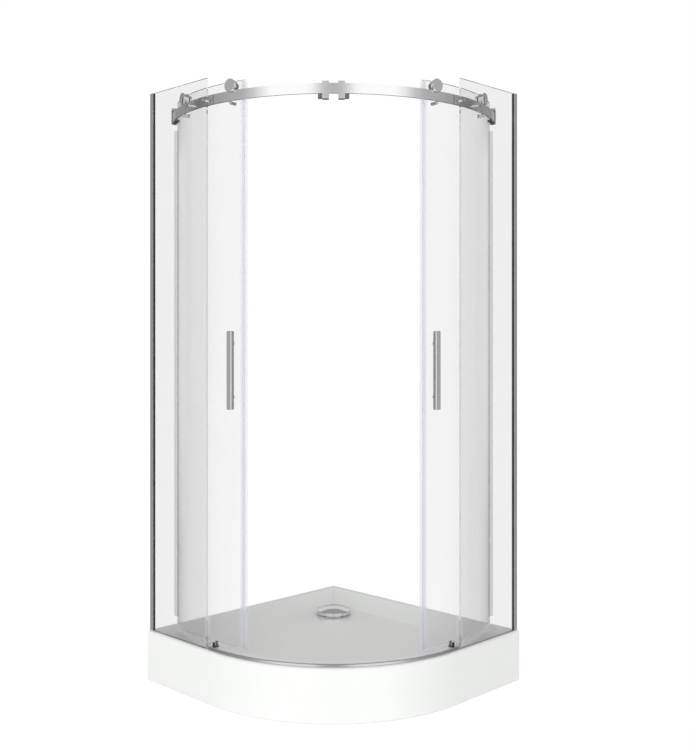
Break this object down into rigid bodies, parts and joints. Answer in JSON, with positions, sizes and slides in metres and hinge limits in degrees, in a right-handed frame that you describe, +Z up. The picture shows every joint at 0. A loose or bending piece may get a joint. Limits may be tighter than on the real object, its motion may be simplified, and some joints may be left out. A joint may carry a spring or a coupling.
{
  "type": "shower enclosure",
  "caption": "Quarter-round corner shower enclosure: low white tray, flat fixed glass panels and curved glass doors that roll round a curved chrome rail.",
  "frame": {"origin": "on the floor under the middle of the square that the tray fills", "axes": "+Z up; the left wall is at -X and the right wall at +Y, so the room's corner is at -X +Y and the rounded front faces +X -Y"},
  "size_m": [0.9, 0.9, 2.01],
  "materials": {
    "white_acrylic": "gloss",
    "clear_glass": "polished",
    "polished_chrome": "polished",
    "bright_aluminium": "polished",
    "clear_vinyl": "satin",
    "black_rubber": "matt",
    "white_nylon": "matt",
    "grey_nylon": "matt",
    "zinc_steel": "zinc plated",
    "grey_polypropylene": "matt"
  },
  "bodies": {
    "enclosure": {"tray_shell": "white_acrylic", "threshold_strip": "polished_chrome", "rail": "polished_chrome", "support_frame": "zinc_steel", "levelling_feet": "zinc_steel", "lock_nuts": "zinc_steel", "drain_flange": "polished_chrome", "drain_washer": "black_rubber", "trap_body": "grey_polypropylene", "left_wall_profile": "bright_aluminium", "right_wall_profile": "bright_aluminium", "left_glazing_gaskets": "black_rubber", "right_glazing_gaskets": "black_rubber", "left_fixed_glass": "clear_glass", "right_fixed_glass": "clear_glass", "left_edge_seal": "clear_vinyl", "right_edge_seal": "clear_vinyl", "left_end_bracket": "polished_chrome", "right_end_bracket": "polished_chrome", "left_end_buffer": "black_rubber", "right_end_buffer": "black_rubber", "left_stop_block": "polished_chrome", "right_stop_block": "polished_chrome", "left_stop_buffer": "black_rubber", "right_stop_buffer": "black_rubber", "left_rail_bolts": "polished_chrome", "right_rail_bolts": "polished_chrome", "left_rail_spacers": "polished_chrome", "right_rail_spacers": "polished_chrome", "left_bottom_guide": "grey_nylon", "right_bottom_guide": "grey_nylon", "left_guide_block": "polished_chrome", "right_guide_block": "polished_chrome"},
    "drain_cover": {"drain_cover": "polished_chrome"},
    "left_door": {"left_door_glass": "clear_glass", "left_lead_seal": "clear_vinyl", "left_trail_seal": "clear_vinyl", "left_bottom_seal": "clear_vinyl", "left_roller_axles": "polished_chrome", "left_roller_bushes": "white_nylon", "left_roller_nuts": "polished_chrome", "left_guide_pins": "polished_chrome", "left_pin_nuts": "polished_chrome", "left_handle": "polished_chrome"},
    "left_front_wheel": {"left_front_wheel": "polished_chrome"},
    "left_rear_wheel": {"left_rear_wheel": "polished_chrome"},
    "right_door": {"right_door_glass": "clear_glass", "right_lead_seal": "clear_vinyl", "right_trail_seal": "clear_vinyl", "right_bottom_seal": "clear_vinyl", "right_roller_axles": "polished_chrome", "right_roller_bushes": "white_nylon", "right_roller_nuts": "polished_chrome", "right_guide_pins": "polished_chrome", "right_pin_nuts": "polished_chrome", "right_handle": "polished_chrome"},
    "right_front_wheel": {"right_front_wheel": "polished_chrome"},
    "right_rear_wheel": {"right_rear_wheel": "polished_chrome"}
  },
  "joints": [
    {"name": "left_door_slide", "type": "hinge", "parent": "enclosure", "child": "left_door", "pos_m": [-0.162, 0.162, 1], "axis": [0, 0, 1], "range_deg": [0, 28.75]},
    {"name": "right_door_slide", "type": "hinge", "parent": "enclosure", "child": "right_door", "pos_m": [-0.162, 0.162, 1], "axis": [0, 0, -1], "range_deg": [0, 28.75]},
    {"name": "left_front_wheel_spin", "type": "hinge", "parent": "left_door", "child": "left_front_wheel", "pos_m": [-0.05114, -0.40833, 1.974], "axis": [-0.1908, 0.9816, 0], "range_deg": [0, 1080]},
    {"name": "left_rear_wheel_spin", "type": "hinge", "parent": "left_door", "child": "left_rear_wheel", "pos_m": [-0.30547, -0.40101, 1.974], "axis": [0.2469, 0.969, 0], "range_deg": [0, 1080]},
    {"name": "right_front_wheel_spin", "type": "hinge", "parent": "right_door", "child": "right_front_wheel", "pos_m": [0.40833, 0.05114, 1.974], "axis": [0.9816, -0.1908, 0], "range_deg": [0, 1080]},
    {"name": "right_rear_wheel_spin", "type": "hinge", "parent": "right_door", "child": "right_rear_wheel", "pos_m": [0.40101, 0.30547, 1.974], "axis": [0.969, 0.2469, 0], "range_deg": [0, 1080]},
    {"name": "drain_cover_lift", "type": "slide", "parent": "enclosure", "child": "drain_cover", "axis": [0, 0, 1], "range_m": [0, 0.06]}
  ],
  "couplings": [
    {"joint": "left_front_wheel_spin", "follows": "left_door_slide", "ratio": 37.006},
    {"joint": "left_rear_wheel_spin", "follows": "left_door_slide", "ratio": 37.006},
    {"joint": "right_front_wheel_spin", "follows": "right_door_slide", "ratio": 37.006},
    {"joint": "right_rear_wheel_spin", "follows": "right_door_slide", "ratio": 37.006}
  ]
}
